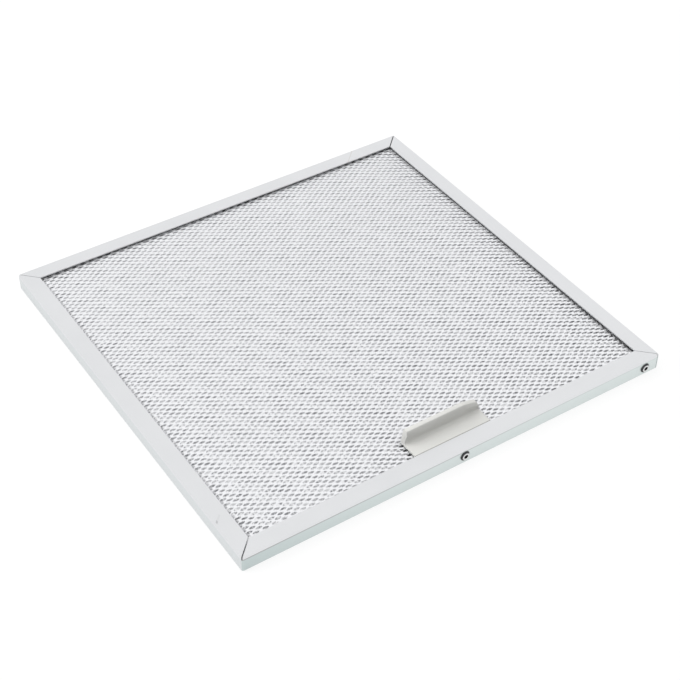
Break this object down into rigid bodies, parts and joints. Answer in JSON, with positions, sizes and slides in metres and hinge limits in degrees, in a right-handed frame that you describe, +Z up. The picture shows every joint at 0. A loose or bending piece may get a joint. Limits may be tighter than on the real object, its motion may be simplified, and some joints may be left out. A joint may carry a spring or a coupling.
{
  "type": "cooker hood grease filter",
  "caption": "Flat aluminium grease filter: folded channel frame round layers of expanded mesh, with a moulded grip riveted to its front edge.",
  "frame": {"origin": "centre of the frame's plan, on the surface that the filter lies on", "axes": "+Z up out of the face with the handle, +X along the front edge that carries the handle, -Y out of that front edge"},
  "size_m": [0.292, 0.281, 0.019],
  "materials": {
    "frame_aluminium": "pale satin mill aluminium",
    "mesh_aluminium": "bright expanded aluminium",
    "foil_aluminium": "bright expanded foil",
    "handle_plastic": "light warm grey moulded plastic, fine matte",
    "rivet_aluminium": "bright aluminium blind rivet",
    "mandrel_steel": "dark broken steel"
  },
  "bodies": {
    "root": {"frame": "frame_aluminium", "front_mesh": "mesh_aluminium", "back_mesh": "mesh_aluminium", "inner_layer_1": "foil_aluminium", "inner_layer_2": "foil_aluminium", "inner_layer_3": "foil_aluminium", "inner_layer_4": "foil_aluminium", "handle": "handle_plastic", "rivets": "rivet_aluminium", "rivet_mandrels": "mandrel_steel"}
  },
  "joints": []
}
